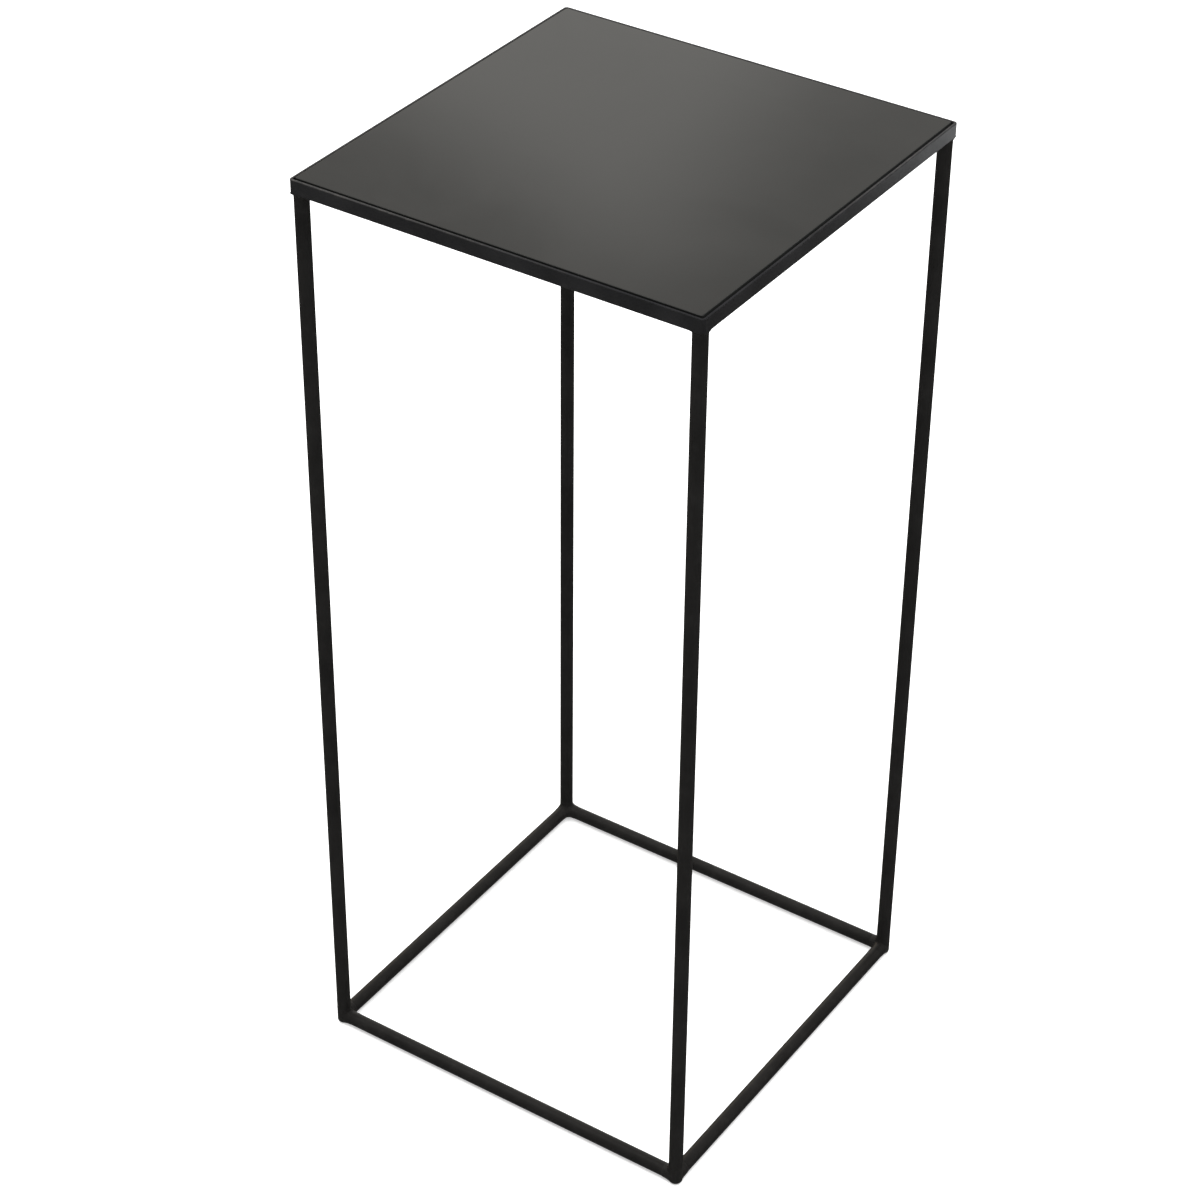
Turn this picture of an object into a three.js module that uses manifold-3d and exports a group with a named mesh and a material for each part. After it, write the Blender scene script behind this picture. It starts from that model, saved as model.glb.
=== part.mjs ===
// Display plinth: an open square frame of round bar with a shallow angle-iron tray on top that carries a loose glass panel.
// Millimetres, +Z up, origin on the floor at the middle of the base.
// Front is -Y, back is +Y, left is -X, right is +X.
import * as THREE from 'three';
import { mergeVertices } from 'three/addons/utils/BufferGeometryUtils.js';
import Module from 'manifold-3d';

// ---- driving dimensions -------------------------------------------------------------------------------------------
const HEIGHT = 800;          // floor to the top edge of the rim, level with the glass
const TRAY = 345.5;           // outside of the square tray
const LEG_SPACING = 333;     // leg axis to leg axis, both ways
const BAR_D = 11.5;           // round bar, legs and base rails
const BAR_SIDES = 32;        // facets round a bar
const PAD_T = 1.0;           // floor pad thickness
const PAD_D = 6.5;           // floor pad diameter
const RIM_H = 11.5;          // upright wall of the angle section, outside height
const RIM_T = 2;             // thickness of the angle section
const LEDGE_W = 12;          // width of the angle's ledge, outside
const TRAY_CORNER_R = 3;     // outside vertical corners of the tray
const GLASS_T = 6;           // glass panel
const GLASS_GAP = 1.3;       // gap between the glass and the rim, the mean of the two sides
const GLASS_SHIFT = 1.0;     // the loose glass lies pushed this far towards the back and the left
const GLASS_CORNER_R = 1.6;  // ground corners of the glass
const GLASS_ARRIS = 0.5;     // ground arris along the glass edges
const BUMPER_D = 7;          // soft bumper under the glass
const BUMPER_INSET = 8;      // bumper centre in from the tray's outside, both ways
const FIT = 0.3;             // clearance where two pieces meet
const END_R = 2.2;           // rounded bottom edge of a leg

// ---- derived ------------------------------------------------------------------------------------------------------
const R = BAR_D / 2;
const A = LEG_SPACING / 2;
const HALF = TRAY / 2;
const LEDGE_TOP = HEIGHT - RIM_H + RIM_T;
const LEG_BOTTOM = PAD_T + FIT;
const LEG_TOP = HEIGHT - RIM_H - FIT;
const RAIL_Z = LEG_BOTTOM + R;
const GLASS_TOP = HEIGHT;
const GLASS_HALF = HALF - RIM_T - GLASS_GAP;

// ---- finishes -----------------------------------------------------------------------------------------------------
const finish = {
  bar: () => new THREE.MeshStandardMaterial({ color: 0x1d1c1b, roughness: 0.5, metalness: 0.0 }),
  rim: () => new THREE.MeshStandardMaterial({ color: 0x222122, roughness: 0.45, metalness: 0.0 }),
  glass: () => new THREE.MeshStandardMaterial({ color: 0x2a2a28, roughness: 0.12, metalness: 0.0 }),
  bumper: () => new THREE.MeshStandardMaterial({ color: 0xb9bab6, roughness: 0.35, metalness: 0.0 }),
  pad: () => new THREE.MeshStandardMaterial({ color: 0x151515, roughness: 0.95, metalness: 0.0 }),
};

// ---- solids -------------------------------------------------------------------------------------------------------
const wasm = await Module();
wasm.setup();

// A closed geometry becomes a solid that can be cut.
function solid(geometry) {
  let g = geometry.index ? geometry.toNonIndexed() : geometry.clone();
  for (const name of Object.keys(g.attributes)) if (name !== 'position') g.deleteAttribute(name);
  g = mergeVertices(g, 1e-5);
  return new wasm.Manifold(new wasm.Mesh({
    numProp: 3,
    vertProperties: new Float32Array(g.attributes.position.array),
    triVerts: new Uint32Array(g.index.array),
  }));
}

function geometryOf(body) {
  const m = body.getMesh();
  const g = new THREE.BufferGeometry();
  const xyz = new Float32Array((m.vertProperties.length / m.numProp) * 3);
  for (let i = 0; i < xyz.length / 3; i++) for (let k = 0; k < 3; k++) xyz[3 * i + k] = m.vertProperties[i * m.numProp + k];
  g.setAttribute('position', new THREE.BufferAttribute(xyz, 3));
  g.setIndex(Array.from(m.triVerts));
  g.computeVertexNormals();
  return g;
}

function box(x0, y0, z0, x1, y1, z1) {
  const g = new THREE.BoxGeometry(x1 - x0, y1 - y0, z1 - z0);
  g.translate((x0 + x1) / 2, (y0 + y1) / 2, (z0 + z1) / 2);
  return g;
}

// An outline extruded up the Z axis.
function prism(points, z0, z1) {
  const shape = new THREE.Shape(points.map(([x, y]) => new THREE.Vector2(x, y)));
  const g = new THREE.ExtrudeGeometry(shape, { depth: z1 - z0, bevelEnabled: false });
  g.translate(0, 0, z0);
  return g;
}

// The outline of a square with rounded corners, centred on the origin.
function roundedSquare(half, r, steps) {
  const pts = [];
  for (const [sx, sy, start] of [[1, 1, 0], [-1, 1, 90], [-1, -1, 180], [1, -1, 270]]) {
    for (let i = 0; i <= steps; i++) {
      const t = THREE.MathUtils.degToRad(start + (90 * i) / steps);
      pts.push([sx * (half - r) + r * Math.cos(t), sy * (half - r) + r * Math.sin(t)]);
    }
  }
  return pts;
}

// A round body turned about the Z axis from [radius, height] pairs that start and end on the axis.
function turned(profile, sides) {
  return new THREE.LatheGeometry(profile.map(([r, z]) => new THREE.Vector2(r, z)), sides).rotateX(Math.PI / 2);
}

// A round bar along X from x0 to x1, its facets' mid-radius equal to the bar's radius.
function barX(x0, x1, r) {
  const g = new THREE.CylinderGeometry(r, r, x1 - x0, BAR_SIDES);
  g.rotateZ(Math.PI / 2);
  g.translate((x0 + x1) / 2, 0, 0);
  return g;
}

const plinth = new THREE.Group();
function add(name, geometry, material, x = 0, y = 0, z = 0, turn = 0, parent = plinth) {
  const mesh = new THREE.Mesh(geometry, material);
  mesh.name = name;
  mesh.position.set(x, y, z);
  mesh.rotation.z = turn;
  parent.add(mesh);
  return mesh;
}

// The four corners, and the four sides with the turn that takes the front side to them.
const corners = [
  ['front_left', -1, -1],
  ['front_right', 1, -1],
  ['back_right', 1, 1],
  ['back_left', -1, 1],
];
const sides = [
  ['front', 0],
  ['right', Math.PI / 2],
  ['back', Math.PI],
  ['left', -Math.PI / 2],
];

// ---- legs: upright bars with a rounded lower edge ---------------------------------------------------------------------
const legProfile = [[0, LEG_BOTTOM]];
for (let i = 0; i <= 3; i++) {
  const t = (Math.PI / 2) * (i / 3);
  legProfile.push([R - END_R + END_R * Math.sin(t), LEG_BOTTOM + END_R - END_R * Math.cos(t)]);
}
legProfile.push([R, LEG_TOP], [0, LEG_TOP]);
for (const [corner, sx, sy] of corners) {
  add(`leg_${corner}`, turned(legProfile, BAR_SIDES), finish.bar(), sx * A, sy * A, 0);
}

// ---- base rails: bars between the legs, each end hollowed to the leg and mitred to the next rail ------------------------
const legCut = (x) => {
  const g = new THREE.CylinderGeometry(R + FIT, R + FIT, 4 * BAR_D, 2 * BAR_SIDES);
  g.rotateX(Math.PI / 2);
  g.translate(x, 0, 0);
  return solid(g);
};
// Everything beyond the 45 degree plane through the leg's axis, on the inner side where the next rail arrives.
const m = 3 * BAR_D;
const g45 = FIT * Math.SQRT1_2;
const mitre = (s) => {
  const pts = [[-s * A, 0], [-s * A + s * m, m], [-s * A - s * m, m], [-s * A - s * m, -m], [-s * A, -m]]
    .map(([x, y]) => [x + s * g45, y]);
  if (s < 0) pts.reverse();
  return solid(prism(pts, -2 * BAR_D, 2 * BAR_D));
};
let rail = solid(barX(-A, A, R));
for (const s of [1, -1]) rail = rail.subtract(legCut(-s * A)).subtract(mitre(s));
for (const [side, turn] of sides) {
  const g = new THREE.Group();
  g.rotation.z = turn;
  plinth.add(g);
  add(`base_rail_${side}`, geometryOf(rail), finish.bar(), 0, -A, RAIL_Z, 0, g);
}

// ---- top rails: angle section, wall up and ledge inwards, mitred, with the tray's outside corners rounded ---------------
const z0 = HEIGHT - RIM_H;
const wall = solid(box(-HALF - 1, -HALF, z0, HALF + 1, -HALF + RIM_T, HEIGHT));
const ledge = solid(box(-HALF - 1, -HALF, z0, HALF + 1, -HALF + LEDGE_W, z0 + RIM_T));
const mitreGap = FIT / 2 * Math.SQRT2;
const wedge = solid(prism([
  [-HALF + mitreGap, -HALF], [HALF - mitreGap, -HALF],
  [HALF - mitreGap - 2 * LEDGE_W, -HALF + 2 * LEDGE_W], [-HALF + mitreGap + 2 * LEDGE_W, -HALF + 2 * LEDGE_W],
], z0 - 5, HEIGHT + 5));
const outside = solid(prism(roundedSquare(HALF, TRAY_CORNER_R, 6), z0 - 5, HEIGHT + 5));
const angle = wall.add(ledge).intersect(wedge).intersect(outside);
for (const [side, turn] of sides) {
  const g = new THREE.Group();
  g.rotation.z = turn;
  plinth.add(g);
  add(`top_rail_${side}`, geometryOf(angle), finish.rim(), 0, 0, 0, 0, g);
}

// ---- bumpers: low soft domes with a flat crown, standing on the ledge's corners -----------------------------------------
const bumperTop = GLASS_TOP - GLASS_T - FIT;
const bumperBottom = LEDGE_TOP + FIT;
const bh = bumperTop - bumperBottom;
const bumperProfile = [
  [0, 0], [BUMPER_D / 2, 0], [BUMPER_D / 2, bh * 0.35], [BUMPER_D / 2 - 0.35, bh * 0.75], [BUMPER_D / 2 - 1.0, bh], [0, bh],
];
for (const [corner, sx, sy] of corners) {
  const c = HALF - BUMPER_INSET;
  add(`bumper_${corner}`, turned(bumperProfile, 24), finish.bumper(), sx * c, sy * c, bumperBottom);
}

// ---- glass: square panel with ground corners and arrised edges ----------------------------------------------------------
{
  const loop = (half, r, z) => roundedSquare(half, r, 4).map(([x, y]) => [x, y, z]);
  const a = GLASS_ARRIS;
  const rings = [
    loop(GLASS_HALF - a, GLASS_CORNER_R - a * 0.5, 0),
    loop(GLASS_HALF, GLASS_CORNER_R, a),
    loop(GLASS_HALF, GLASS_CORNER_R, GLASS_T - a),
    loop(GLASS_HALF - a, GLASS_CORNER_R - a * 0.5, GLASS_T),
  ];
  const n = rings[0].length;
  const xyz = rings.flat(2);
  xyz.push(0, 0, 0, 0, 0, GLASS_T);
  const idx = [];
  for (let k = 0; k < rings.length - 1; k++) {
    for (let i = 0; i < n; i++) {
      const j = (i + 1) % n;
      idx.push(k * n + i, k * n + j, (k + 1) * n + j, k * n + i, (k + 1) * n + j, (k + 1) * n + i);
    }
  }
  const low = rings.length * n;
  for (let i = 0; i < n; i++) {
    const j = (i + 1) % n;
    idx.push(low, j, i, low + 1, (rings.length - 1) * n + i, (rings.length - 1) * n + j);
  }
  const g = new THREE.BufferGeometry();
  g.setAttribute('position', new THREE.Float32BufferAttribute(xyz, 3));
  g.setIndex(idx);
  g.computeVertexNormals();
  add('glass_panel', g, finish.glass(), -GLASS_SHIFT, GLASS_SHIFT, GLASS_TOP - GLASS_T);
}

// ---- floor pads: thin discs under the leg ends --------------------------------------------------------------------------
const padProfile = [[0, 0], [PAD_D / 2, 0], [PAD_D / 2, PAD_T - 0.2], [PAD_D / 2 - 0.2, PAD_T], [0, PAD_T]];
for (const [corner, sx, sy] of corners) {
  add(`floor_pad_${corner}`, turned(padProfile, 24), finish.pad(), sx * A, sy * A, 0);
}

export default plinth;
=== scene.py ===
import math

import bpy
import numpy as np
from mathutils import Matrix, Vector, noise

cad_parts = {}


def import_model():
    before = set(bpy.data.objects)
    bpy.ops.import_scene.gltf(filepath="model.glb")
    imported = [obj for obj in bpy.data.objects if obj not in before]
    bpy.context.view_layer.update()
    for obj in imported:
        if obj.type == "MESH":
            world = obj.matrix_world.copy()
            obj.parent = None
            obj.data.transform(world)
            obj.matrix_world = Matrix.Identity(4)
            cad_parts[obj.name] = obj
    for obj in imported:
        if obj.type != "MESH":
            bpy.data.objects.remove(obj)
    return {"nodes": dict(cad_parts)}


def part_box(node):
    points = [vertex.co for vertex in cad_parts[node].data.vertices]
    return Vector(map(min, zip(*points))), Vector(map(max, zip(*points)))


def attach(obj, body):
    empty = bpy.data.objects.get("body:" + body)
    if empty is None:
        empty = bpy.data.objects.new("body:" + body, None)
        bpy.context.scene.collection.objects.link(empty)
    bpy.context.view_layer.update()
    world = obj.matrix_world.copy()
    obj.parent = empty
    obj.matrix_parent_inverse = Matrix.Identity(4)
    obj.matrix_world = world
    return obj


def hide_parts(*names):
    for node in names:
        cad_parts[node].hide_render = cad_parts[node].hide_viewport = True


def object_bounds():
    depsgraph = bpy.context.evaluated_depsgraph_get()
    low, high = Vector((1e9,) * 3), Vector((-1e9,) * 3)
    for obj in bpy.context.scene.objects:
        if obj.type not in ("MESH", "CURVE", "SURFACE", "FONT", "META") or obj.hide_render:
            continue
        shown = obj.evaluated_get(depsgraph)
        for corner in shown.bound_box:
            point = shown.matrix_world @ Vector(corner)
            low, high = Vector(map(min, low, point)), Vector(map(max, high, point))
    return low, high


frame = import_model()
cad_low, cad_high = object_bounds()

# ---------------------------------------------------------------------------------------------------------------------
# Sizes, most read from the frame's nodes, the rest given, in metres
# ---------------------------------------------------------------------------------------------------------------------
MM = 0.001
CORNERS = [("front_left", -1, -1), ("front_right", 1, -1), ("back_right", 1, 1), ("back_left", -1, 1)]
SIDES = [("front", 0.0), ("right", math.pi / 2), ("back", math.pi), ("left", -math.pi / 2)]

leg_lo, leg_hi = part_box("leg_front_right")
BAR_R = (leg_hi.x - leg_lo.x) / 2
AXIS = (leg_hi.x + leg_lo.x) / 2                      # leg axis from the middle, both ways
rail_lo, rail_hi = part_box("base_rail_front")
RAIL_Z = (rail_lo.z + rail_hi.z) / 2
tray_lo, tray_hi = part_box("top_rail_front")
HALF = -tray_lo.y                                     # half of the tray's outside
TOP, TRAY_Z = tray_hi.z, tray_lo.z
glass_lo, glass_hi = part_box("glass_panel")
pad_lo, pad_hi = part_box("floor_pad_front_left")
bump_lo, bump_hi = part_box("bumper_front_left")
WALL_T = 2.0 * MM
END_R = 2.2 * MM                                      # rounded lower end of a leg
LEDGE_W = tray_hi.y - tray_lo.y
CORNER_R = 3.0 * MM


# ---------------------------------------------------------------------------------------------------------------------
# Mesh helpers
# ---------------------------------------------------------------------------------------------------------------------
def make(name, verts, faces, materials, sharp=38.0, face_material=None, attributes=None):
    mesh = bpy.data.meshes.new(name)
    mesh.from_pydata([tuple(float(x) for x in v) for v in verts], [], [tuple(int(i) for i in f) for f in faces])
    mesh.validate()
    for m in materials:
        mesh.materials.append(m)
    if face_material is not None:
        mesh.polygons.foreach_set("material_index", face_material)
    mesh.polygons.foreach_set("use_smooth", [True] * len(mesh.polygons))
    mesh.set_sharp_from_angle(angle=math.radians(sharp))
    for key, values in (attributes or {}).items():
        a = mesh.attributes.new(key, "FLOAT", "POINT")
        a.data.foreach_set("value", np.asarray(values, np.float32))
    mesh.update()
    obj = bpy.data.objects.new(name, mesh)
    bpy.context.scene.collection.objects.link(obj)
    return obj


def place(obj, body, slot, *nodes):
    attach(obj, body)
    if nodes:
        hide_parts(*nodes)
    return obj


def waves(x, y, z, seed, scale):
    """Smooth repeatable noise in about -1..1 at a point in metres; scale is the size of a wave in metres."""
    return noise.noise(Vector((x / scale + seed * 7.31, y / scale - seed * 3.17, z / scale + seed * 1.73)))


def turned(profile, sides, cx, cy):
    """Rings about a vertical axis from (radius, z) pairs that start and end on the axis."""
    verts, faces = [(cx, cy, profile[0][1])], []
    rings = profile[1:-1]
    for r, z in rings:
        for i in range(sides):
            t = 2 * math.pi * i / sides
            verts.append((cx + r * math.cos(t), cy + r * math.sin(t), z))
    verts.append((cx, cy, profile[-1][1]))
    last = len(verts) - 1
    for i in range(sides):
        j = (i + 1) % sides
        faces.append((0, 1 + j, 1 + i))
        for k in range(len(rings) - 1):
            a, b = 1 + k * sides, 1 + (k + 1) * sides
            faces.append((a + i, a + j, b + j, b + i))
        a = 1 + (len(rings) - 1) * sides
        faces.append((a + i, a + j, last))
    return verts, faces


# ---------------------------------------------------------------------------------------------------------------------
# Materials
# ---------------------------------------------------------------------------------------------------------------------
class Nodes:
    def __init__(self, name):
        self.material = bpy.data.materials.new(name)
        self.material.use_nodes = True
        self.tree = self.material.node_tree
        self.tree.nodes.clear()
        self.out = self.add("ShaderNodeOutputMaterial")
        self.bsdf = self.add("ShaderNodeBsdfPrincipled")
        self.link(self.bsdf, "BSDF", self.out, "Surface")
        self.coord = self.add("ShaderNodeTexCoord")

    def add(self, kind, **props):
        node = self.tree.nodes.new(kind)
        for k, v in props.items():
            setattr(node, k, v)
        return node

    def link(self, a, out, b, into):
        self.tree.links.new(a.outputs[out], b.inputs[into])

    def noise(self, scale, detail=2.0, rough=0.5, distortion=0.0):
        n = self.add("ShaderNodeTexNoise")
        n.inputs["Scale"].default_value = scale
        n.inputs["Detail"].default_value = detail
        n.inputs["Roughness"].default_value = rough
        n.inputs["Distortion"].default_value = distortion
        self.link(self.coord, "Object", n, "Vector")
        return n

    def ramp(self, source, output, stops):
        r = self.add("ShaderNodeValToRGB")
        r.color_ramp.interpolation = "EASE"
        while len(r.color_ramp.elements) > 1:
            r.color_ramp.elements.remove(r.color_ramp.elements[0])
        for i, (p, c) in enumerate(stops):
            e = r.color_ramp.elements[0] if i == 0 else r.color_ramp.elements.new(p)
            e.position = p
            e.color = (*c, 1.0) if len(c) == 3 else c
        self.link(source, output, r, "Fac")
        return r

    def span(self, source, output, low, high, a=0.0, b=1.0):
        m = self.add("ShaderNodeMapRange")
        m.inputs["From Min"].default_value = low
        m.inputs["From Max"].default_value = high
        m.inputs["To Min"].default_value = a
        m.inputs["To Max"].default_value = b
        self.link(source, output, m, "Value")
        return m

    def math(self, op, a, b=None):
        m = self.add("ShaderNodeMath", operation=op)
        for i, x in enumerate([a, b]):
            if x is None:
                continue
            if isinstance(x, (int, float)):
                m.inputs[i].default_value = x
            else:
                self.link(x[0], x[1], m, i)
        return m

    def mix(self, fac, a, b):
        m = self.add("ShaderNodeMix", data_type="RGBA")
        self.tree.links.new(fac[0].outputs[fac[1]], m.inputs[0])
        for k, x in ((6, a), (7, b)):
            if isinstance(x, tuple) and not hasattr(x[0], "outputs"):
                m.inputs[k].default_value = (*x, 1.0)
            else:
                self.tree.links.new(x[0].outputs[x[1]], m.inputs[k])
        return m

    def bump(self, heights):
        """heights: (node, output, strength, distance in metres), applied one on another."""
        last = None
        for node, output, strength, distance in heights:
            b = self.add("ShaderNodeBump")
            b.inputs["Strength"].default_value = strength
            b.inputs["Distance"].default_value = distance
            self.link(node, output, b, "Height")
            if last is not None:
                self.link(last, "Normal", b, "Normal")
            last = b
        self.link(last, "Normal", self.bsdf, "Normal")

    def attribute(self, name):
        return self.add("ShaderNodeAttribute", attribute_name=name)


def powder_coat(name, dark, light, wear_and_highlight_grey, rough, spec, peel=0.35, burnished=False):
    """Matt black powder coat: fine orange peel, soft cloudiness, sparse nibs, and paint scuffed grey where an edge is
    handled, which along the tray's rim top edges is partly a painted highlight.
    Where the "burnish" attribute is above 0 wiping has polished it, and where it is below 0 it is duller."""
    n = Nodes(name)
    cloud = n.noise(28.0, 3.0, 0.55)
    speck = n.noise(1400.0, 1.0, 0.5)
    colour = n.mix((n.span(cloud, "Fac", 0.3, 0.7), "Result"), dark, light)
    # scuffed edges: the attribute says where hands and floors reach, the noise breaks it up; along the rim's top edges
    # it also carries a painted highlight
    wear_and_highlight = n.attribute("wear_and_highlight")
    patch = n.span(n.noise(120.0, 4.0, 0.65), "Fac", 0.5, 0.72)
    rub_and_highlight = n.math("MULTIPLY", (wear_and_highlight, "Fac"), (patch, "Result"))
    # lighter grey where the attribute is high: edge scuffing, and on the rim's top edges a painted highlight
    colour = n.mix((rub_and_highlight, 0), (colour, 2), wear_and_highlight_grey)
    n.link(colour, 2, n.bsdf, "Base Color")
    base = n.span(cloud, "Fac", 0.25, 0.75, rough - 0.05, rough + 0.06)
    fine = n.span(speck, "Fac", 0.3, 0.7, -0.035, 0.035)
    r = n.math("ADD", (base, "Result"), (fine, "Result"))
    r = n.math("SUBTRACT", (r, 0), (n.math("MULTIPLY", (rub_and_highlight, 0), 0.1), 0))
    n.bsdf.inputs["Specular IOR Level"].default_value = spec
    if burnished:
        shine = n.attribute("burnish")
        r = n.math("SUBTRACT", (r, 0), (n.math("MULTIPLY", (shine, "Fac"), 0.30), 0))
        level = n.math("ADD", (n.math("MULTIPLY", (shine, "Fac"), 0.28), 0), spec)
        n.link(level, 0, n.bsdf, "Specular IOR Level")
    n.link(r, 0, n.bsdf, "Roughness")
    n.bump([(n.noise(900.0, 2.0, 0.5), "Fac", peel, 0.00012), (n.noise(170.0, 2.0, 0.5), "Fac", 0.25, 0.0002)])
    return n.material


def black_glass(name):
    """Polished black glass: a nearly perfect mirror with faint wiping marks and a little dust."""
    n = Nodes(name)
    cloud = n.noise(9.0, 3.0, 0.6, 0.6)
    dust = n.noise(2600.0, 2.0, 0.7)
    fleck = n.span(dust, "Fac", 0.70, 0.80)
    colour = n.mix((n.span(cloud, "Fac", 0.3, 0.7), "Result"), (0.0055, 0.0054, 0.0050), (0.0075, 0.0073, 0.0068))
    colour = n.mix((n.math("MULTIPLY", (fleck, "Result"), 0.10), 0), (colour, 2), (0.35, 0.34, 0.32))
    n.link(colour, 2, n.bsdf, "Base Color")
    r = n.span(cloud, "Fac", 0.25, 0.8, 0.045, 0.095)
    r = n.math("ADD", (r, "Result"), (n.math("MULTIPLY", (fleck, "Result"), 0.25), 0))
    n.link(r, 0, n.bsdf, "Roughness")
    n.bsdf.inputs["IOR"].default_value = 1.52
    n.bsdf.inputs["Specular IOR Level"].default_value = 0.5
    n.bump([(n.noise(6.0, 1.0, 0.5), "Fac", 0.02, 0.0003)])
    return n.material


def ground_edge(name):
    """The ground and polished edge of the glass: slightly greyer and duller than its faces, with fine grinding lines."""
    n = Nodes(name)
    lines = n.add("ShaderNodeTexWave", wave_type="BANDS", bands_direction="Z")
    lines.inputs["Scale"].default_value = 900.0
    lines.inputs["Distortion"].default_value = 3.0
    lines.inputs["Detail"].default_value = 2.0
    n.link(n.coord, "Object", lines, "Vector")
    colour = n.mix((lines, "Fac"), (0.0090, 0.0093, 0.0090), (0.0140, 0.0145, 0.0140))
    n.link(colour, 2, n.bsdf, "Base Color")
    n.link(n.span(n.noise(300.0), "Fac", 0.2, 0.8, 0.22, 0.42), "Result", n.bsdf, "Roughness")
    n.bump([(lines, "Fac", 0.15, 0.00005)])
    return n.material


def back_lacquer(name):
    """The lacquered back of the glass."""
    n = Nodes(name)
    cloud = n.noise(40.0, 4.0, 0.6)
    colour = n.mix((n.span(cloud, "Fac", 0.3, 0.7), "Result"), (0.0060, 0.0058, 0.0056), (0.0105, 0.0102, 0.0098))
    n.link(colour, 2, n.bsdf, "Base Color")
    n.link(n.span(cloud, "Fac", 0.2, 0.8, 0.36, 0.52), "Result", n.bsdf, "Roughness")
    n.bsdf.inputs["Specular IOR Level"].default_value = 0.35
    n.bump([(n.noise(500.0, 2.0), "Fac", 0.2, 0.0001)])
    return n.material


def silicone(name):
    n = Nodes(name)
    cloud = n.noise(500.0, 3.0, 0.6)
    colour = n.mix((n.span(cloud, "Fac", 0.3, 0.7), "Result"), (0.46, 0.46, 0.44), (0.60, 0.60, 0.57))
    n.link(colour, 2, n.bsdf, "Base Color")
    n.link(n.span(cloud, "Fac", 0.2, 0.8, 0.26, 0.42), "Result", n.bsdf, "Roughness")
    n.bsdf.inputs["Subsurface Weight"].default_value = 0.35
    n.bsdf.inputs["Subsurface Scale"].default_value = 0.002
    n.bump([(n.noise(1500.0, 2.0), "Fac", 0.2, 0.00005)])
    return n.material


def foam(name):
    n = Nodes(name)
    cells = n.add("ShaderNodeTexVoronoi")
    cells.inputs["Scale"].default_value = 2600.0
    n.link(n.coord, "Object", cells, "Vector")
    cloud = n.noise(300.0, 2.0)
    colour = n.mix((n.span(cloud, "Fac", 0.3, 0.7), "Result"), (0.009, 0.009, 0.009), (0.017, 0.017, 0.016))
    n.link(colour, 2, n.bsdf, "Base Color")
    n.link(n.span(cells, "Distance", 0.0, 0.5, 0.78, 0.97), "Result", n.bsdf, "Roughness")
    n.bsdf.inputs["Specular IOR Level"].default_value = 0.25
    n.bump([(cells, "Distance", 0.5, 0.0002)])
    return n.material


BAR = powder_coat("bar_powder_coat", (0.0067, 0.0063, 0.0060), (0.0108, 0.0102, 0.0097), (0.034, 0.032, 0.030), 0.42, 0.34)
WELD = powder_coat("weld_powder_coat", (0.0071, 0.0067, 0.0063), (0.0114, 0.0107, 0.0102), (0.034, 0.032, 0.030), 0.38, 0.40, 0.5)
RIM = powder_coat("rim_powder_coat", (0.0080, 0.0080, 0.0087), (0.0127, 0.0127, 0.0137), (0.030, 0.028, 0.027), 0.38, 0.32, burnished=True)
GLASS = black_glass("black_glass")
EDGE = ground_edge("glass_ground_edge")
BACK = back_lacquer("glass_back_lacquer")
SILICONE = silicone("milky_silicone")
FOAM = foam("black_foam")


# ---------------------------------------------------------------------------------------------------------------------
# Bars
# ---------------------------------------------------------------------------------------------------------------------
BAR_SIDES = 56
COAT = 0.025 * MM                                     # how far the coat's surface wanders


def leg(name, sx, sy, seed):
    """An upright bar with a filed lower end, standing on its pad."""
    bottom, top = pad_hi.z, TRAY_Z
    r_end = END_R
    rings = []
    for i in range(7):
        t = (math.pi / 2) * i / 6
        rings.append((BAR_R - r_end + r_end * math.sin(t), bottom + r_end - r_end * math.cos(t)))
    count = 150
    for i in range(1, count + 1):
        rings.append((BAR_R, bottom + r_end + (top - bottom - r_end) * i / count))
    cx, cy = sx * AXIS, sy * AXIS
    profile = [(0, bottom), (rings[0][0] * 0.5, bottom)] + rings + [(BAR_R * 0.5, top), (0, top)]
    verts, faces = turned(profile, BAR_SIDES, cx, cy)
    out, wear_and_highlight = [], []
    for x, y, z in verts:
        dx, dy = x - cx, y - cy
        r = math.hypot(dx, dy)
        if r > BAR_R * 0.9 and z > bottom + r_end:
            k = 1 + COAT / BAR_R * waves(x, y, z * 0.5, seed, 0.012)
            dx, dy = dx * k, dy * k
        out.append((cx + dx, cy + dy, z))
        wear_and_highlight.append(max(0.0, 1 - (z - bottom) / 0.010) * 0.8 + 0.10)
    obj = make(name, out, faces, [BAR], attributes={"wear_and_highlight": wear_and_highlight})
    return obj


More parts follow.
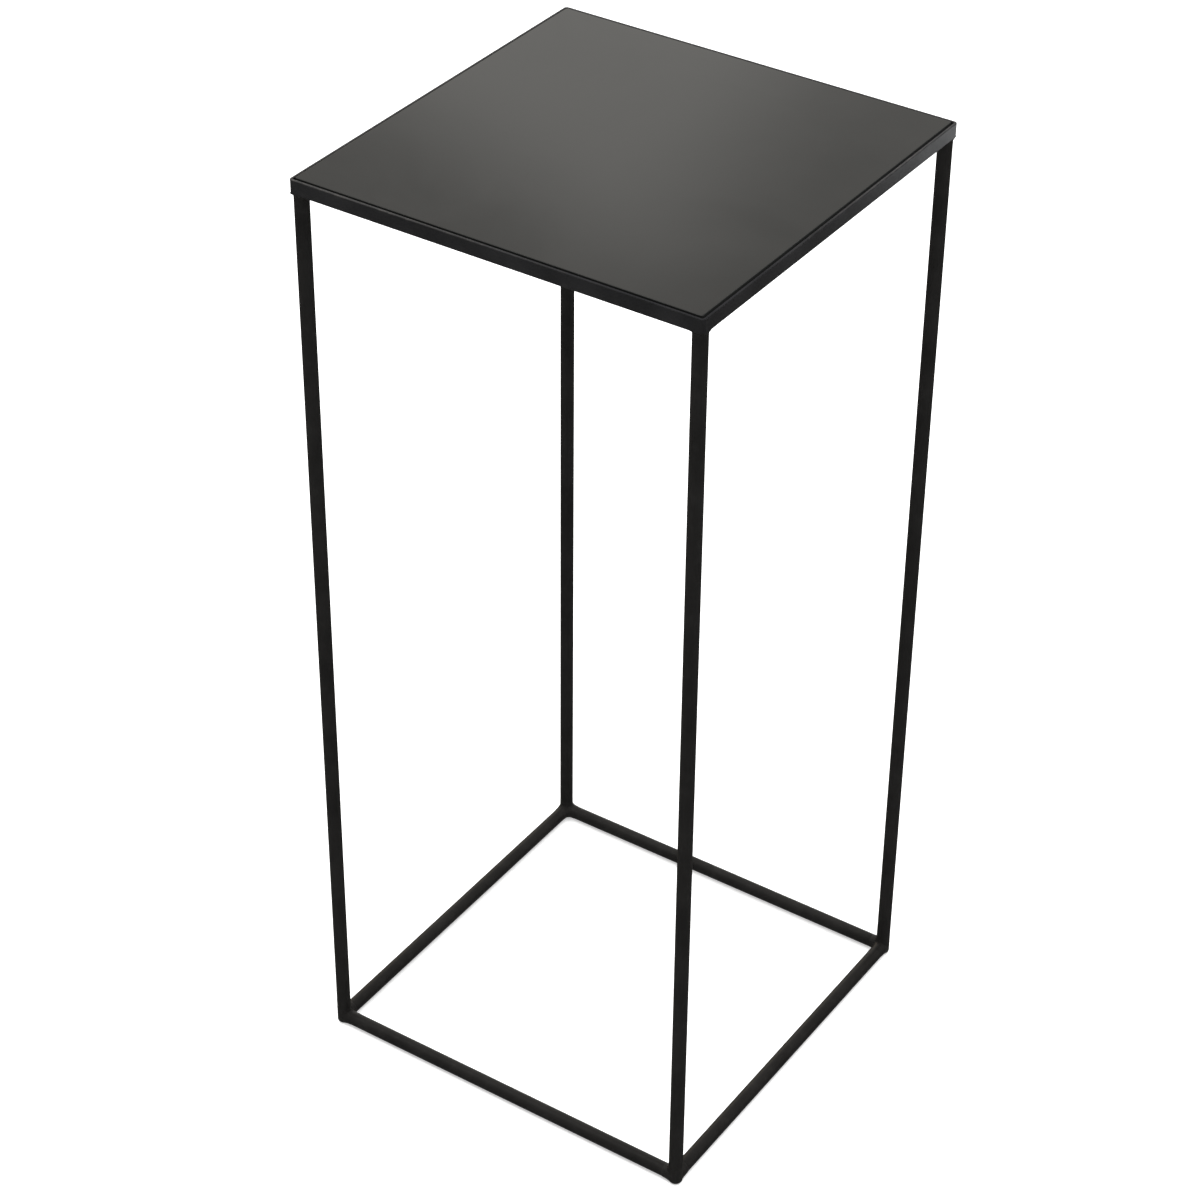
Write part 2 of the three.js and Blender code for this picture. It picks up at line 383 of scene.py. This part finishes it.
def base_rail(name, turn, seed):
    """A bar lying between two legs: each end is hollowed to its leg, and mitred to the next bar on the inner side."""
    rings, verts, faces, wear_and_highlight = 110, [], [], []
    ends = []
    for i in range(BAR_SIDES):
        t = 2 * math.pi * i / BAR_SIDES
        inward = BAR_R * math.cos(t)                  # towards the middle of the plinth
        saddle = AXIS - math.sqrt(max(BAR_R ** 2 - inward ** 2, 0.0))
        mitre = AXIS - inward if inward > 0 else AXIS
        ends.append(min(saddle, mitre))
    for k in range(rings + 1):
        s = -1 + 2 * k / rings
        for i in range(BAR_SIDES):
            t = 2 * math.pi * i / BAR_SIDES
            x = s * ends[i]
            y0, z0 = BAR_R * math.cos(t), BAR_R * math.sin(t)
            g = 1 + COAT / BAR_R * waves(x * 0.5, y0, z0, seed, 0.012)
            verts.append((x, -AXIS + y0 * g, RAIL_Z + z0 * g))
            wear_and_highlight.append(max(0.0, -math.sin(t) - 0.6) * 1.2 + 0.12)
    for k in range(rings):
        a, b = k * BAR_SIDES, (k + 1) * BAR_SIDES
        for i in range(BAR_SIDES):
            j = (i + 1) % BAR_SIDES
            faces.append((a + i, a + j, b + j, b + i))
    # each end closes on a point inside the leg
    for k, s in ((0, -1), (rings, 1)):
        verts.append((s * (AXIS - BAR_R * 1.02), -AXIS, RAIL_Z))
        wear_and_highlight.append(0.0)
        c = len(verts) - 1
        a = k * BAR_SIDES
        for i in range(BAR_SIDES):
            j = (i + 1) % BAR_SIDES
            faces.append((a + j, a + i, c) if s < 0 else (a + i, a + j, c))
    c, s = math.cos(turn), math.sin(turn)
    verts = [(x * c - y * s, x * s + y * c, z) for x, y, z in verts]
    # faces wind outwards when the ring runs from y to z along +x
    return make(name, verts, [f[::-1] for f in faces], [BAR], attributes={"wear_and_highlight": wear_and_highlight})


for i, (corner, sx, sy) in enumerate(CORNERS):
    place(leg(f"bar_leg_{corner}", sx, sy, 11 + i), "frame", "bar_paint", f"leg_{corner}")
for i, (side, turn) in enumerate(SIDES):
    place(base_rail(f"bar_base_{side}", turn, 31 + i), "frame", "bar_paint", f"base_rail_{side}")


# ---------------------------------------------------------------------------------------------------------------------
# Welds: each is the body of metal that blends the bars into one another, found as the zero surface of a distance field
# ---------------------------------------------------------------------------------------------------------------------
def surface(field, low, high, step):
    """A closed quad mesh of field(p) = 0 between two corners, by surface nets, then pulled on to the true surface."""
    axes = [np.arange(a, b + step, step) for a, b in zip(low, high)]
    grid = np.stack(np.meshgrid(*axes, indexing="ij"), -1)
    shape = grid.shape[:3]
    f = field(grid.reshape(-1, 3)).reshape(shape)
    f[0], f[-1], f[:, 0], f[:, -1], f[:, :, 0], f[:, :, -1] = (1.0,) * 6
    inside = f < 0
    total = np.zeros((shape[0] - 1, shape[1] - 1, shape[2] - 1, 3))
    count = np.zeros(total.shape[:3])
    steps = [(0, (1, 0, 0)), (1, (0, 1, 0)), (2, (0, 0, 1))]
    for axis, d in steps:
        others = [a for a in range(3) if a != axis]
        a = f[: shape[0] - d[0], : shape[1] - d[1], : shape[2] - d[2]]
        b = f[d[0]:, d[1]:, d[2]:]
        cross = (a < 0) != (b < 0)
        t = np.where(cross, a / np.where(cross, a - b, 1.0), 0.0)
        p = grid[: shape[0] - d[0], : shape[1] - d[1], : shape[2] - d[2]].copy()
        p[..., axis] += t * step
        for u in (0, 1):
            for v in (0, 1):
                # the cell whose corner (u, v) this edge is
                cut = [slice(None)] * 3
                cut[others[0]] = slice(u, u + total.shape[others[0]])
                cut[others[1]] = slice(v, v + total.shape[others[1]])
                cut = tuple(cut)
                total += p[cut] * cross[cut][..., None]
                count += cross[cut]
    used = count > 0
    index = -np.ones(used.shape, int)
    index[used] = np.arange(used.sum())
    verts = total[used] / count[used][:, None]
    faces = []
    for axis, d in steps:
        o1, o2 = [(axis + 1) % 3, (axis + 2) % 3]
        a = inside[: shape[0] - d[0], : shape[1] - d[1], : shape[2] - d[2]]
        b = inside[d[0]:, d[1]:, d[2]:]
        where = np.argwhere(a != b)
        for e in where:
            ring = []
            for u, v in ((-1, -1), (0, -1), (0, 0), (-1, 0)):
                c = e.copy()
                c[o1] += u
                c[o2] += v
                ring.append(index[tuple(c)])
            if min(ring) < 0:
                continue
            faces.append(tuple(ring) if a[tuple(e)] else tuple(ring[::-1]))
    eps = step * 0.02
    for _ in range(4):
        v0 = field(verts)
        g = np.stack([(field(verts + eps * np.eye(3)[k]) - field(verts - eps * np.eye(3)[k])) / (2 * eps) for k in range(3)], -1)
        n2 = np.maximum((g ** 2).sum(-1), 0.2)
        move = -(v0 / n2)[:, None] * g
        size = np.linalg.norm(move, axis=1, keepdims=True)
        verts = verts + move * np.minimum(1.0, 0.4 * step / np.maximum(size, 1e-12))
    return verts, faces


def smooth_min(a, b, k):
    h = np.maximum(k - np.abs(a - b), 0.0) / k
    return np.minimum(a, b) - h * h * k / 4


def base_weld(name, sx, sy, k, seed, lump):
    """The weld between a leg and the two base bars that reach it. u and v run inwards along the bars."""
    # millimetres here, to keep the numbers near one
    R, zr, zb = BAR_R / MM, RAIL_Z / MM, pad_hi.z / MM
    reach = 13.0

    def field(p):
        u, v, z = p[:, 0], p[:, 1], p[:, 2]
        d0, d1, d2 = (np.maximum(np.hypot(a, b), 1e-6) for a, b in ((u, v), (v, z - zr), (u, z - zr)))
        upright, r_end = d0 - R, END_R / MM
        q = np.stack([np.maximum(d0 - (R - r_end), 0), np.maximum((zb + r_end) - z, 0)])
        capped = np.where(z < zb + r_end, np.hypot(q[0], q[1]) - r_end, upright)
        one = np.where(u < 0, np.maximum(d1 - R, -u - 0.5), d1 - R)
        two = np.where(v < 0, np.maximum(d2 - R, -v - 0.5), d2 - R)
        # two round bars run smoothly into one another where their sides are parallel, so a bead has nothing to fill there
        k01 = k * (1 - v * v / (d0 * d1))
        k02 = k * (1 - u * u / (d0 * d2))
        k12 = k * (1 - (z - zr) ** 2 / (d1 * d2))
        inner = np.minimum(smooth_min(capped, one, np.maximum(k01, 0.05)), smooth_min(capped, two, np.maximum(k02, 0.05)))
        near = smooth_min(inner, smooth_min(one, two, np.maximum(k12, 0.05)), np.maximum(np.minimum(np.minimum(k01, k02), k12), 0.05))
        plain = np.minimum(np.minimum(capped, one), two)
        # ripples of the bead, only where it fills a corner
        bead = np.clip((plain - near) / (k / 4), 0, 1)
        ang1 = np.arctan2(z - zr, v) * R
        ang2 = np.arctan2(z - zr, u) * R
        ang = np.where(u > v, ang1, ang2)
        ripple = 0.16 * np.sin(ang * 2 * np.pi / 1.7 + seed) * bead
        blob = lump * bead * np.sin(u * 0.9 + seed) * np.sin(v * 0.8 + 2 * seed) * np.cos(z * 0.7)
        # the weld's own skin stands just proud near the corner and sinks into the bars further out
        far = np.maximum(np.maximum(u, v), (z - zr) * 0.95)
        skin = 0.05 - 0.40 * np.clip((far - (R + k * 0.9)) / 2.2, 0, 1) ** 2
        body = near - skin - ripple - blob
        clip = np.maximum(np.maximum(u - reach, v - reach), z - (zr + reach + 0.5))
        floor = zb - z
        return np.maximum(np.maximum(body, clip), floor)

    verts, faces = surface(field, (-R - 1.6, -R - 1.6, zb - 1.1), (reach + 1.1, reach + 1.1, zr + reach + 2.0), 0.55)
    pts = [((sx * (AXIS / MM - u)) * MM, (sy * (AXIS / MM - v)) * MM, z * MM) for u, v, z in verts]
    if sx * sy < 0:
        faces = [f[::-1] for f in faces]
    wear_and_highlight = [0.25 + 0.3 * max(0.0, waves(x, y, z, seed, 0.004)) for x, y, z in pts]
    return make(name, pts, faces, [WELD], sharp=50, attributes={"wear_and_highlight": wear_and_highlight})


def top_weld(name, sx, sy, k, seed):
    """The bead that joins a leg's top to the underside of the tray's ledge."""
    R, zt, A, H = BAR_R / MM, TRAY_Z / MM, AXIS / MM, HALF / MM

    def field(p):
        u, v, z = p[:, 0], p[:, 1], p[:, 2]       # u, v inwards from the leg's axis
        upright = np.hypot(u, v) - R
        ledge = zt - z                            # underside of the ledge, solid above
        # the ledge stops at the tray's outside, and the bead stays a little inside it
        out = np.maximum(-u, -v) - (H - A - 0.15)
        near = smooth_min(upright, np.maximum(ledge, out), k)
        plain = np.minimum(upright, np.maximum(ledge, out))
        bead = np.clip((plain - near) / (k / 4), 0, 1)
        ang = np.arctan2(v, u) * R
        ripple = 0.13 * np.sin(ang * 2 * np.pi / 1.6 + seed) * bead
        skin = 0.05 - 0.40 * np.clip(((zt - z) - k * 0.95) / 2.0, 0, 1) ** 2
        side = np.hypot(u, v) - (R + k * 1.05)
        body = np.maximum(near - skin - ripple, side)
        clip = np.maximum(z - (zt + 0.5), (zt - 9.0) - z)
        return np.maximum(np.maximum(body, clip), out)

    m = R + 2 * k
    verts, faces = surface(field, (-m, -m, zt - 10.2), (m, m, zt + 1.2), 0.5)
    pts = [((sx * (A - u)) * MM, (sy * (A - v)) * MM, z * MM) for u, v, z in verts]
    if sx * sy < 0:
        faces = [f[::-1] for f in faces]
    wear_and_highlight = [0.15] * len(pts)
    return make(name, pts, faces, [WELD], sharp=50, attributes={"wear_and_highlight": wear_and_highlight})


BASE_K = {"front_left": 3.4, "front_right": 3.6, "back_right": 3.8, "back_left": 4.6}
LUMP = {"front_left": 0.25, "front_right": 0.12, "back_right": 0.38, "back_left": 0.12}
for i, (corner, sx, sy) in enumerate(CORNERS):
    place(base_weld(f"weld_base_{corner}", sx, sy, BASE_K[corner], 1.3 + 1.9 * i, LUMP[corner]), "frame", "bar_paint")
    place(top_weld(f"weld_top_{corner}", sx, sy, 2.4, 0.7 + 2.3 * i), "frame", "bar_paint")


# ---------------------------------------------------------------------------------------------------------------------
# Tray: four lengths of angle section, mitred, with softened edges and a rounded outside corner
# ---------------------------------------------------------------------------------------------------------------------
def rounded(points, radii, steps=4):
    """A closed outline with each corner turned into an arc."""
    out, wear_and_highlight = [], []
    n = len(points)
    for i in range(n):
        p, a, b = (np.array(points[k % n], float) for k in (i, i - 1, i + 1))
        r, w = radii[i]
        da, db = (a - p) / np.linalg.norm(a - p), (b - p) / np.linalg.norm(b - p)
        half = math.acos(max(-1, min(1, float(da @ db)))) / 2
        back = r / math.tan(half)
        centre = p + (da + db) / np.linalg.norm(da + db) * (r / math.sin(half))
        s, e = p + da * back - centre, p + db * back - centre
        a0, a1 = math.atan2(s[1], s[0]), math.atan2(e[1], e[0])
        while a1 - a0 > math.pi:
            a1 -= 2 * math.pi
        while a1 - a0 < -math.pi:
            a1 += 2 * math.pi
        for k in range(steps + 1):
            t = a0 + (a1 - a0) * k / steps
            out.append(tuple(centre + r * np.array([math.cos(t), math.sin(t)])))
            wear_and_highlight.append(w)
    return out, wear_and_highlight


def top_rail(name, turn, seed):
    T, L, W = WALL_T, LEDGE_W, TOP - TRAY_Z
    # (inwards from the outer face, height); radius and how much the edge is rubbed, which on the two top edges also
    # sets a painted highlight
    corners = [(0, 0), (0, W), (T, W), (T, T), (L, T), (L, 0)]
    radii = [(0.6 * MM, 0.25), (0.45 * MM, 1.0), (0.35 * MM, 0.6), (1.0 * MM, 0.0), (0.5 * MM, 0.1), (0.5 * MM, 0.1)]
    outline, rub_and_highlight = rounded(corners, radii, 7)
    # extra loops along the flat faces keep their shading flat
    dense, dense_rub_and_highlight = [], []
    n = len(outline)
    for i in range(n):
        p, q = np.array(outline[i]), np.array(outline[(i + 1) % n])
        dense.append(tuple(p))
        dense_rub_and_highlight.append(rub_and_highlight[i])
        d = np.linalg.norm(q - p)
        if d > 1.2 * MM:
            for f in (0.25 * MM / d, 0.5, 1 - 0.25 * MM / d):
                dense.append(tuple(p + (q - p) * f))
                dense_rub_and_highlight.append(0.0 if 0.2 < f < 0.8 else 0.25 * max(rub_and_highlight[i], rub_and_highlight[(i + 1) % n]))
    arc = 8
    stations = [("arc", -1, k) for k in range(arc)] + [("run", 0, k) for k in range(61)] + [("arc", 1, k) for k in range(1, arc + 1)]
    verts, wear_and_highlight = [], []
    for kind, s, k in stations:
        for (o, h), w in zip(dense, dense_rub_and_highlight):
            r = max(CORNER_R - o, 0.12 * MM)
            c = HALF - o - r
            if kind == "run":
                x, y = -c + 2 * c * k / 60, -(HALF - o)
            elif s < 0:
                t = math.radians(-135 + 45 * k / arc)
                x, y = -c + r * math.cos(t), -c + r * math.sin(t)
            else:
                t = math.radians(-90 + 45 * k / arc)
                x, y = c + r * math.cos(t), -c + r * math.sin(t)
            # the coat's surface wanders a little on the outer face
            if o < 0.2 * MM and kind == "run":
                y += COAT * 0.5 * (1 + waves(x, 0, h, seed, 0.02))
            verts.append((x, y, TRAY_Z + h))
            wear_and_highlight.append(w)
    m = len(dense)
    faces = []
    for a in range(len(stations) - 1):
        for i in range(m):
            j = (i + 1) % m
            faces.append((a * m + i, a * m + j, (a + 1) * m + j, (a + 1) * m + i))
    faces.append(tuple(reversed(range(m))))
    e = (len(stations) - 1) * m
    faces.append(tuple(range(e, e + m)))
    c, s = math.cos(turn), math.sin(turn)
    verts = [(x * c - y * s, x * s + y * c, z) for x, y, z in verts]
    # the rim's top is made glossier away from the front right corner and duller near it, and its top edges are painted
    # a lighter grey away from that corner: partly edge wear, partly a painted highlight that fades to painted shade at
    # the corner
    polish_and_highlight_fade = []
    for x, y, z in verts:
        t = min(max((math.hypot(x - HALF, y + HALF) / MM - 60) / 210, 0), 1)
        polish_and_highlight_fade.append(t * t * (3 - 2 * t))
    shine = [1.22 * g - 1.0 if z > TOP - 0.3 * MM else 0.0 for g, (x, y, z) in zip(polish_and_highlight_fade, verts)]
    # painted highlight and shade: the top edges' grey is scaled down near the front right corner
    wear_and_highlight = [w * (0.1 + 0.9 * g) if z > TOP - 1.0 * MM else w for w, g, (x, y, z) in zip(wear_and_highlight, polish_and_highlight_fade, verts)]
    return make(name, verts, faces, [RIM], sharp=40, attributes={"wear_and_highlight": wear_and_highlight, "burnish": shine})


for i, (side, turn) in enumerate(SIDES):
    place(top_rail(f"tray_angle_{side}", turn, 51 + i), "frame", "rim_paint", f"top_rail_{side}")


# ---------------------------------------------------------------------------------------------------------------------
# Glass: a slab with ground corners and a softened arris
# ---------------------------------------------------------------------------------------------------------------------
def glass():
    half = (glass_hi.x - glass_lo.x) / 2
    cx, cy = (glass_hi.x + glass_lo.x) / 2, (glass_hi.y + glass_lo.y) / 2
    z0, z1 = glass_lo.z, glass_hi.z
    arris, radius, steps = 0.5 * MM, 1.6 * MM, 8

    def loop(inset, z):
        h, r = half - inset, max(radius - inset, 0.4 * MM)
        pts = []
        for sx, sy, start in ((1, 1, 0), (-1, 1, 90), (-1, -1, 180), (1, -1, 270)):
            for k in range(steps + 1):
                t = math.radians(start + 90 * k / steps)
                pts.append((cx + sx * (h - r) + r * math.cos(t), cy + sy * (h - r) + r * math.sin(t), z))
        return pts

    rings, kinds = [], []
    rings.append(loop(arris + 1.2 * MM, z0)); kinds.append(2)
    rings.append(loop(arris + 0.2 * MM, z0)); kinds.append(2)
    for k in range(5):
        t = (math.pi / 2) * k / 4
        rings.append(loop(arris * (1 - math.sin(t)), z0 + arris * (1 - math.cos(t)))); kinds.append(1)
    rings.append(loop(0, z0 + arris + 0.3 * MM)); kinds.append(1)
    rings.append(loop(0, z1 - arris - 0.3 * MM)); kinds.append(1)
    for k in range(5):
        t = (math.pi / 2) * k / 4
        rings.append(loop(arris * (1 - math.cos(t)), z1 - arris * (1 - math.sin(t)))); kinds.append(1)
    rings.append(loop(arris + 0.2 * MM, z1)); kinds.append(0)
    rings.append(loop(arris + 1.2 * MM, z1)); kinds.append(0)
    n = len(rings[0])
    verts = [p for r in rings for p in r]
    faces, material = [], []
    for k in range(len(rings) - 1):
        for i in range(n):
            j = (i + 1) % n
            faces.append((k * n + i, k * n + j, (k + 1) * n + j, (k + 1) * n + i))
            material.append(kinds[k + 1] if kinds[k] == 1 else (1 if kinds[k + 1] == 1 else kinds[k]))
    # flat faces as one n-gon on each inner loop
    faces.append(tuple(reversed(range(n)))); material.append(2)
    e = (len(rings) - 1) * n
    faces.append(tuple(range(e, e + n))); material.append(0)
    return make("glass_top", verts, faces, [GLASS, EDGE, BACK], sharp=60, face_material=material)


place(glass(), "glass", "glass_top", "glass_panel")


# ---------------------------------------------------------------------------------------------------------------------
# Bumpers and floor pads
# ---------------------------------------------------------------------------------------------------------------------
def bumper(name, node):
    lo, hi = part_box(node)
    cx, cy, r = (lo.x + hi.x) / 2, (lo.y + hi.y) / 2, (hi.x - lo.x) / 2
    z0, h = lo.z - 0.3 * MM, hi.z - lo.z + 0.45 * MM          # stuck to the ledge, and just under the glass
    profile = [(0, z0), (r * 0.9, z0), (r, z0 + 0.08 * h), (r, z0 + 0.22 * h)]
    for k in range(1, 11):
        t = (math.pi / 2) * k / 10
        profile.append((r * (0.46 + 0.54 * math.cos(t)), z0 + h * (0.22 + 0.76 * math.sin(t))))
    profile += [(r * 0.3, z0 + h), (0, z0 + h)]
    verts, faces = turned(profile, 48, cx, cy)
    return make(name, verts, faces, [SILICONE], sharp=60)


def pad(name, node, seed):
    lo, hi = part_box(node)
    cx, cy, r = (lo.x + hi.x) / 2, (lo.y + hi.y) / 2, (hi.x - lo.x) / 2
    h = hi.z - lo.z
    profile = [(0, lo.z), (r * 0.85, lo.z)]
    for k in range(9):
        t = -math.pi / 2 + math.pi * k / 8
        profile.append((r * 0.95 + r * 0.05 * math.cos(t), lo.z + h / 2 + h / 2 * math.sin(t)))
    profile += [(r * 0.85, hi.z), (0, hi.z)]
    verts, faces = turned(profile, 48, cx, cy)
    out = []
    for x, y, z in verts:
        k = 1 + 0.012 * waves(x, y, z, seed, 0.002)
        k = min(k, 1.0) if math.hypot(x - cx, y - cy) > r * 0.99 else k
        out.append((cx + (x - cx) * k, cy + (y - cy) * k, z))
    return make(name, out, faces, [FOAM], sharp=60)


for i, (corner, sx, sy) in enumerate(CORNERS):
    place(bumper(f"soft_bumper_{corner}", f"bumper_{corner}"), "frame", "bumper_clear", f"bumper_{corner}")
    place(pad(f"foam_pad_{corner}", f"floor_pad_{corner}", 71 + i), "frame", "pad_black", f"floor_pad_{corner}")

# CAD nodes stay hidden behind the pieces that stand for them, and carry the same finishes
for node, obj in frame["nodes"].items():
    finish = BAR
    if node.startswith("top_rail"):
        finish = RIM
    elif node.startswith("glass"):
        finish = GLASS
    elif node.startswith("bumper"):
        finish = SILICONE
    elif node.startswith("floor_pad"):
        finish = FOAM
    if not obj.data.materials:
        obj.data.materials.append(finish)
    for s in obj.material_slots:
        s.material = finish


# ---------------------------------------------------------------------------------------------------------------------
# Stage: pale floor, soft light, camera
# ---------------------------------------------------------------------------------------------------------------------
def floor():
    n = Nodes("pale_floor")
    n.bsdf.inputs["Roughness"].default_value = 0.9
    n.bsdf.inputs["Specular IOR Level"].default_value = 0.1
    n.bsdf.inputs["Base Color"].default_value = (0.66, 0.66, 0.66, 1)
    # a sheet of opal acrylic, lit a little from below, so that shadows on it stay pale
    n.bsdf.inputs["Emission Color"].default_value = (1, 1, 1, 1)
    sep = n.add("ShaderNodeSeparateXYZ")
    n.link(n.coord, "Object", sep, "Vector")
    across = n.math("MULTIPLY", (sep, "X"), (sep, "X"))
    along = n.math("MULTIPLY", (sep, "Y"), (sep, "Y"))
    away = n.math("SQRT", (n.math("ADD", (across, 0), (along, 0)), 0))
    n.link(n.span((away, 0)[0], 0, 1.4, 6.0, 0.50, 0.96), "Result", n.bsdf, "Emission Strength")
    n.material.cycles.emission_sampling = "NONE"
    s = 30.0
    mesh = bpy.data.meshes.new("floor")
    mesh.from_pydata([(-s, -s, 0), (s, -s, 0), (s, s, 0), (-s, s, 0)], [], [(0, 1, 2, 3)])
    mesh.materials.append(n.material)
    obj = bpy.data.objects.new("floor", mesh)
    bpy.context.scene.collection.objects.link(obj)
    obj.visible_glossy = False
    return obj


floor()


def area(name, at, aim, size, power, colour=(1, 1, 1), glossy=True, only=None):
    data = bpy.data.lights.new(name, "AREA")
    data.shape = "RECTANGLE"
    data.size, data.size_y = size
    data.energy = power
    data.color = colour
    obj = bpy.data.objects.new(name, data)
    bpy.context.scene.collection.objects.link(obj)
    obj.location = at
    obj.rotation_euler = (Vector(aim) - Vector(at)).to_track_quat("-Z", "Y").to_euler()
    obj.visible_camera = False
    obj.visible_glossy = glossy
    if only is not None:
        obj.light_linking.receiver_collection = only
    return obj


area("soft_overhead", (0.0, 0.0, 4.2), (0, 0, 0), (5.0, 5.0), 520.0, glossy=False)
# small cards that pick out the tray's rim and the glass's right-hand edge, and nothing else
rim_only = bpy.data.collections.new("rim_only")
for side, _ in SIDES:
    rim_only.objects.link(bpy.data.objects[f"tray_angle_{side}"])
area("card_right", (0.30, 0.64, 0.68), (0.17, 0.17, 0.80), (0.34, 0.34), 0.64, (0.97, 0.985, 1.0), only=rim_only)
glass_only = bpy.data.collections.new("glass_only")
glass_only.objects.link(bpy.data.objects["glass_top"])
area("card_joint", (0.62, 0.10, 1.25), (0.17, 0.0, 0.80), (0.30, 0.30), 5.0, (1.0, 1.0, 1.0), glossy=False, only=glass_only)
area("card_left", (-0.63, -0.55, 1.34), (-0.17, -0.17, 0.80), (0.45, 0.45), 1.05, (1.0, 0.95, 0.88), only=rim_only)


def world():
    """A soft studio: dim all round, with one broad pale screen whose reflection lies in the glass."""
    w = bpy.data.worlds.new("studio")
    w.use_nodes = True
    bpy.context.scene.world = w
    t = w.node_tree
    t.nodes.clear()

    def add(kind, **props):
        node = t.nodes.new(kind)
        for k, v in props.items():
            setattr(node, k, v)
        return node

    def value(x):
        return x if hasattr(x, "is_output") else None

    def m(op, a, b=0.0, c=None, clamp=False):
        node = add("ShaderNodeMath", operation=op)
        node.use_clamp = clamp
        for i, x in enumerate((a, b, c)):
            if x is None:
                continue
            if hasattr(x, "is_output"):
                t.links.new(x, node.inputs[i])
            else:
                node.inputs[i].default_value = x
        return node.outputs[0]

    def smooth(x, a, b):
        """0 below a, 1 above b."""
        node = add("ShaderNodeMapRange", interpolation_type="SMOOTHSTEP")
        node.inputs["From Min"].default_value = a
        node.inputs["From Max"].default_value = b
        t.links.new(x, node.inputs["Value"])
        return node.outputs["Result"]

    coord = add("ShaderNodeTexCoord")
    sep = add("ShaderNodeSeparateXYZ")
    t.links.new(coord.outputs["Generated"], sep.inputs[0])
    x, y, z = sep.outputs
    # azimuth from +Y towards +X in degrees, elevation in degrees
    az = m("MULTIPLY", m("ARCTAN2", x, y), 180 / math.pi)
    el = m("MULTIPLY", m("ARCSINE", z), 180 / math.pi)
    # the screen's soft top edge and right edge, each a little tilted
    top = m("SUBTRACT", m("SUBTRACT", el, m("MULTIPLY", m("ADD", az, 38.0), 0.62)), 26.65)
    side = m("ADD", m("ADD", az, 29.5), m("MULTIPLY", m("SUBTRACT", el, 26.0), 0.80))
    top = m("SUBTRACT", 1.0, smooth(top, -1.9, 1.4))
    side = m("SUBTRACT", 1.0, smooth(side, -2.8, 2.4))
    low = smooth(el, -2.0, 8.0)
    left = smooth(az, -85.0, -65.0)
    screen = m("MULTIPLY", m("MULTIPLY", top, low), m("MULTIPLY", side, left))
    # the wall that the screen stands before, dimmer above and to the right
    wall = m("MULTIPLY", m("SUBTRACT", 1.0, smooth(el, 31.0, 42.0)), m("SUBTRACT", 1.0, smooth(az, -24.0, -6.0)))
    wall = m("MULTIPLY", wall, smooth(az, -100.0, -75.0))
    # a soft patch overhead on the left, seen in the bars that run across
    aim = (math.sin(math.radians(-98)) * math.cos(math.radians(61)), math.cos(math.radians(-98)) * math.cos(math.radians(61)), math.sin(math.radians(61)))
    dot = m("ADD", m("ADD", m("MULTIPLY", x, aim[0]), m("MULTIPLY", y, aim[1])), m("MULTIPLY", z, aim[2]))
    patch = smooth(dot, math.cos(math.radians(34)), math.cos(math.radians(10)))
    up = smooth(z, -0.10, 0.12)
    front = smooth(y, -0.05, 0.35)
    room = m("ADD", m("MULTIPLY", front, 0.08), m("ADD", m("MULTIPLY", patch, 0.42), 0.06))
    base = m("ADD", m("MULTIPLY", up, m("ADD", m("MULTIPLY", wall, 0.27), room)), 0.10)
    strength = m("ADD", base, m("MULTIPLY", screen, 0.50))
    tint = add("ShaderNodeMix", data_type="RGBA")
    warm = m("MULTIPLY", smooth(m("MULTIPLY", x, -1.0), 0.56, 0.78), smooth(y, 0.0, 0.3))
    warm = m("MULTIPLY", warm, m("SUBTRACT", 1.0, smooth(el, 32.0, 46.0)))
    t.links.new(warm, tint.inputs[0])
    tint.inputs[6].default_value = (1.0, 0.985, 0.94, 1)
    tint.inputs[7].default_value = (1.0, 0.82, 0.62, 1)
    bg = add("ShaderNodeBackground")
    t.links.new(tint.outputs[2], bg.inputs["Color"])
    t.links.new(strength, bg.inputs["Strength"])
    plain = add("ShaderNodeBackground")
    plain.inputs["Color"].default_value = (1, 1, 1, 1)
    plain.inputs["Strength"].default_value = 1.0
    path = add("ShaderNodeLightPath")
    mix = add("ShaderNodeMixShader")
    t.links.new(path.outputs["Is Camera Ray"], mix.inputs[0])
    t.links.new(bg.outputs[0], mix.inputs[1])
    t.links.new(plain.outputs[0], mix.inputs[2])
    out = add("ShaderNodeOutputWorld")
    t.links.new(mix.outputs[0], out.inputs[0])


world()


def camera():
    az, el, roll = math.radians(33.5506), math.radians(35.3789), math.radians(0.523)
    back = Vector((math.sin(az) * math.cos(el), -math.cos(az) * math.cos(el), math.sin(el)))
    right = Vector((math.cos(az), math.sin(az), 0))
    up = back.cross(right)
    r = right * math.cos(roll) + up * math.sin(roll)
    u = -right * math.sin(roll) + up * math.cos(roll)
    H = cad_high.z
    at = Vector((0, 0, 0.5 * H)) + back * (3.1371 * H) + r * (-0.0222 * H) + u * (0.0059 * H)
    data = bpy.data.cameras.new("camera")
    data.lens = 3189.82 / 1200 * 36
    data.sensor_width = 36
    data.clip_start, data.clip_end = 0.05, 200
    obj = bpy.data.objects.new("camera", data)
    bpy.context.scene.collection.objects.link(obj)
    obj.matrix_world = Matrix(((r.x, u.x, back.x, at.x), (r.y, u.y, back.y, at.y), (r.z, u.z, back.z, at.z), (0, 0, 0, 1)))
    bpy.context.scene.camera = obj


camera()
bpy.context.scene.view_settings.view_transform = "Standard"
bpy.context.scene.view_settings.look = "None"
